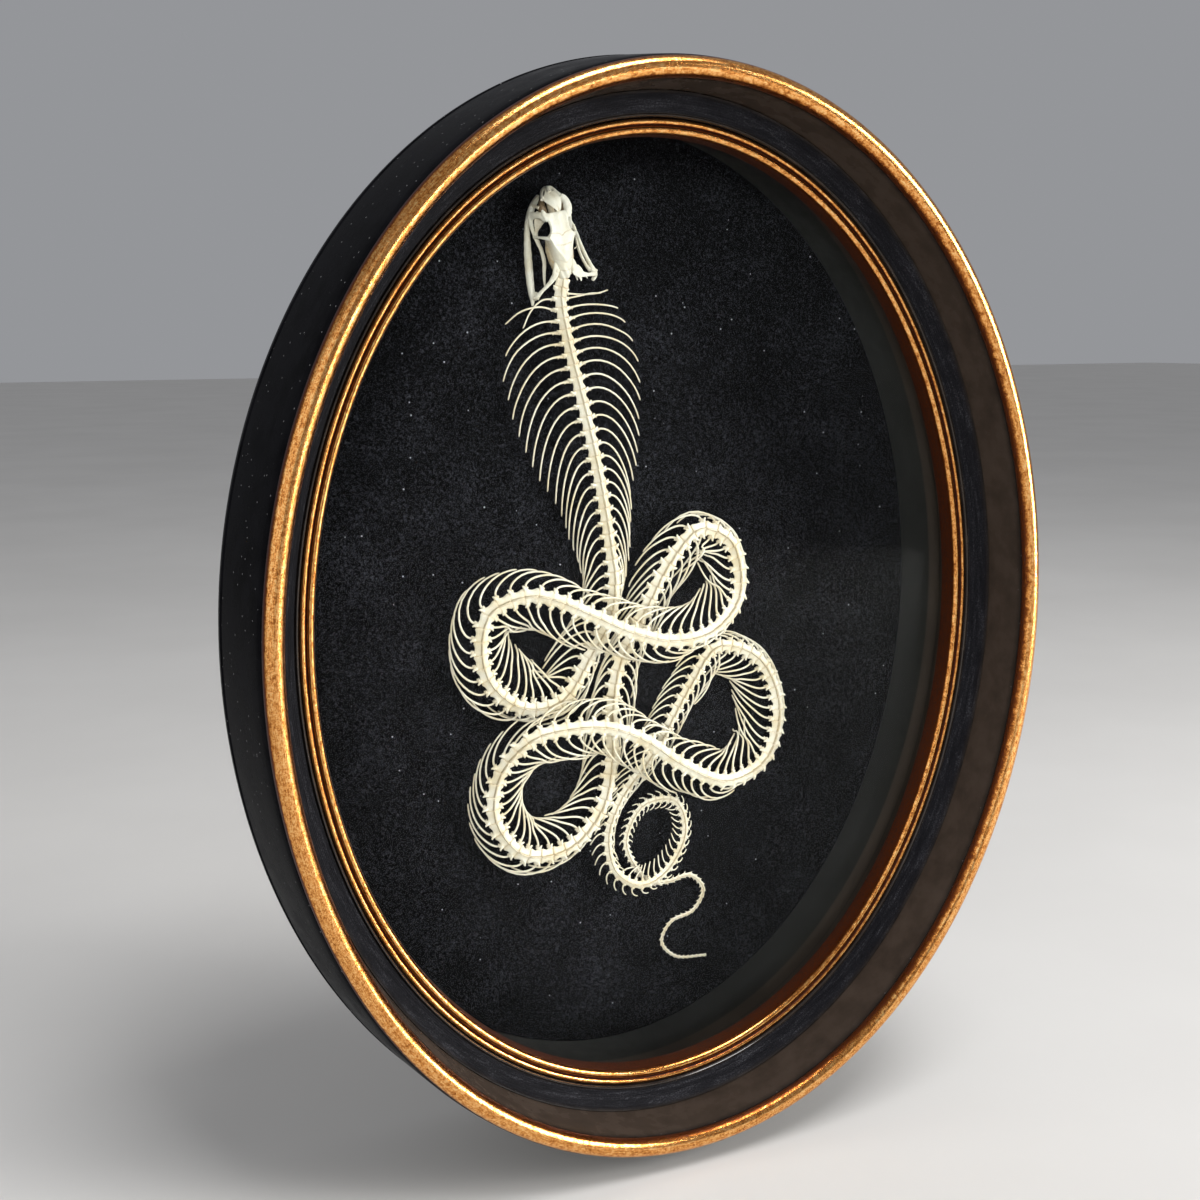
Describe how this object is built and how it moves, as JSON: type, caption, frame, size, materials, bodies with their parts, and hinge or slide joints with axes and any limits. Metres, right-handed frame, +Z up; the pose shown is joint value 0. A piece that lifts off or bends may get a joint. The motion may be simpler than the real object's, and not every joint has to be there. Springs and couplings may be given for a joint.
{
  "type": "framed cobra skeleton",
  "caption": "Cobra skeleton with spread hood and looped body, mounted on black velvet behind glass in a deep oval gilt and black shadow-box frame that hangs on a wall.",
  "frame": {"origin": "centre of the flat back, where the case rests against the wall", "axes": "+X to the right as the viewer faces the glass, +Y back into the wall, so that the front faces -Y, +Z up with the snake's head at the top"},
  "size_m": [0.4116, 0.1047, 0.5256],
  "materials": {
    "gilt": "antique gold leaf over red clay, rubbed through in places",
    "lacquer": "black lacquer, glossy on the outside and speckled brown-black in the cove",
    "glass": "clear flat picture glass",
    "box_paint": "flat dark grey paint",
    "velvet": "black velvet",
    "board": "dark stained hardboard",
    "bone": "bleached bone, ivory with yellow-tan at the rib heads"
  },
  "bodies": {
    "root": {"outer_gilt_bead": "gilt", "black_moulding": "lacquer", "black_cove": "lacquer", "inner_gilt_liner": "gilt", "glass": "glass", "box_wall": "box_paint", "velvet_backing": "velvet", "back_board": "board", "cranium": "bone", "maxilla_right": "bone", "maxilla_left": "bone", "pterygoid_right": "bone", "pterygoid_left": "bone", "quadrate_left": "bone", "quadrate_right": "bone", "mandible_left": "bone", "mandible_right": "bone", "neck_and_hood": "bone", "body_upper_left_loop": "bone", "body_upper_strand": "bone", "body_upper_right_loop": "bone", "body_middle_strand": "bone", "body_lower_left_loop": "bone", "body_lower_strand": "bone", "body_lower_right_loop": "bone", "tail_base": "bone", "tail_ring": "bone", "tail_tip": "bone"}
  },
  "joints": []
}
